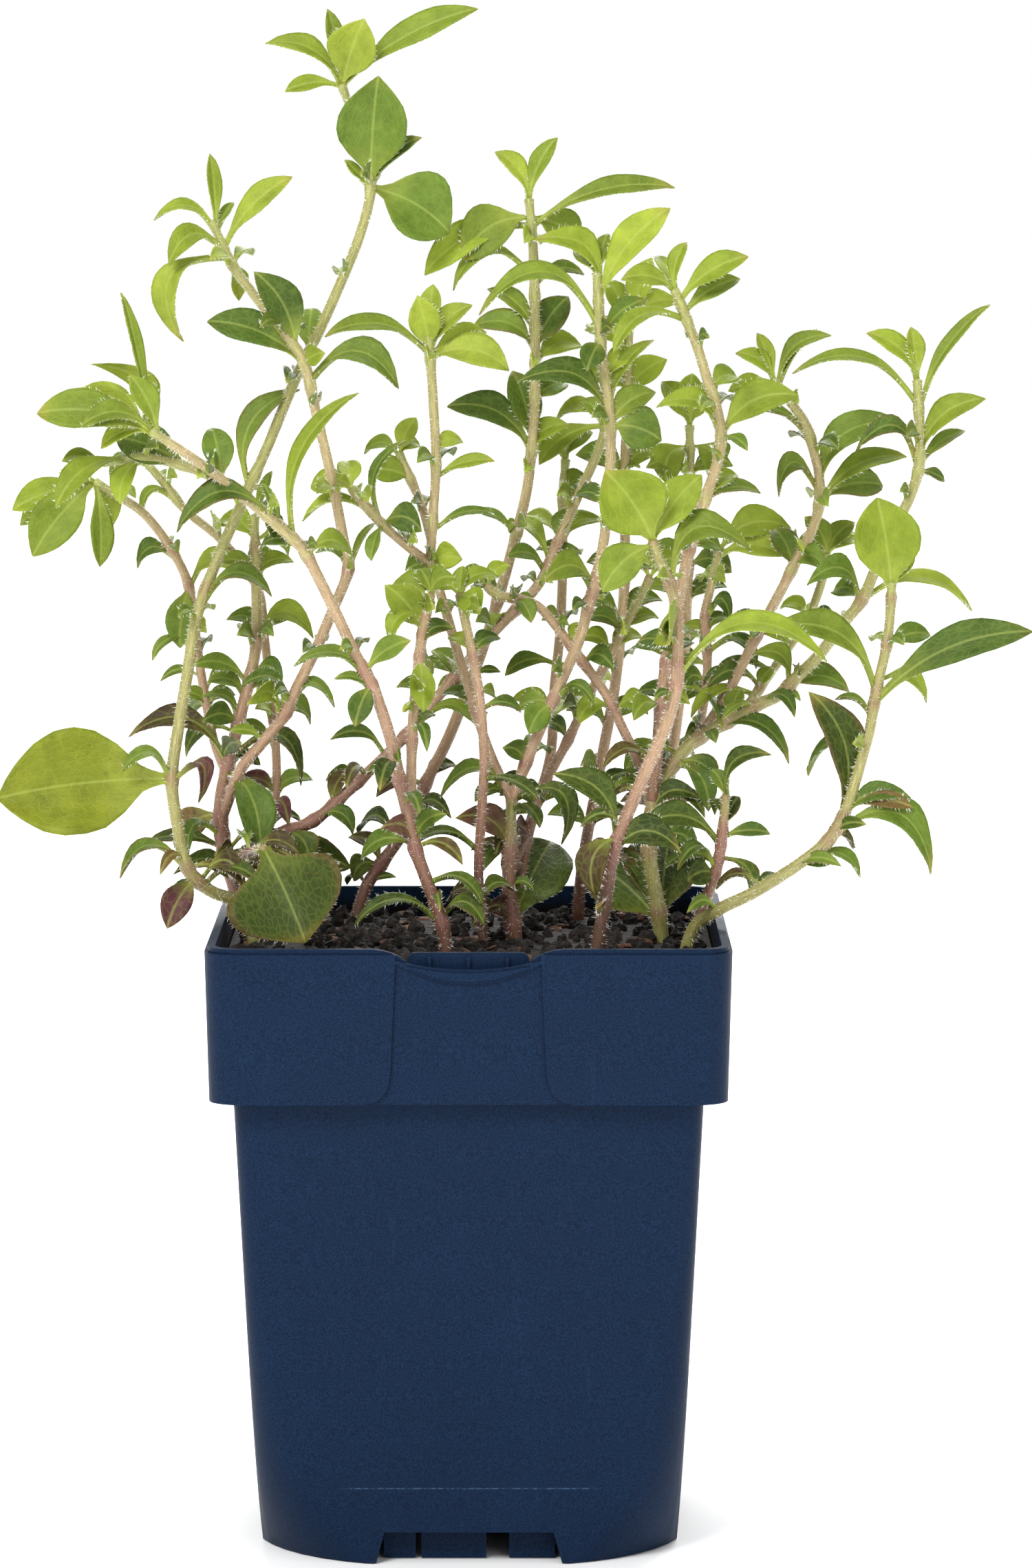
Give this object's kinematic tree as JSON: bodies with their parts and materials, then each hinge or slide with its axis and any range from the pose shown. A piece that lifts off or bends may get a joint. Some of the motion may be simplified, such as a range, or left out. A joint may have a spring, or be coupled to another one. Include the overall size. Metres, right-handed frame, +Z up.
{
  "type": "potted soapwort",
  "caption": "Square plastic nursery pot filled with soil, holding upright leafy soapwort stems with paired narrow leaves",
  "frame": {"origin": "centre of the pot's base, on the plane that the pot stands on", "axes": "+Z up along the stems, -Y to the front as pictured, +X to the viewer's right; millimetre source, metre row"},
  "size_m": [0.1816, 0.0915, 0.2711],
  "materials": {
    "pot": "satin navy moulding",
    "soil": "damp potting mix with bark",
    "leafy_stem": "soft hairy green growth"
  },
  "bodies": {
    "root": {"pot": "pot", "soil": "soil", "leafy_stem_left_outer": "leafy_stem", "leafy_stem_left_cluster": "leafy_stem", "leafy_stem_front_left": "leafy_stem", "leafy_stem_back_left": "leafy_stem", "leafy_stem_pale_middle": "leafy_stem", "leafy_stem_middle_fork": "leafy_stem", "leafy_stem_front_right": "leafy_stem", "leafy_stem_right_cluster": "leafy_stem", "leafy_stem_right_outer": "leafy_stem", "leafy_stem_back_middle": "leafy_stem", "leafy_stem_back_right": "leafy_stem"}
  },
  "joints": []
}
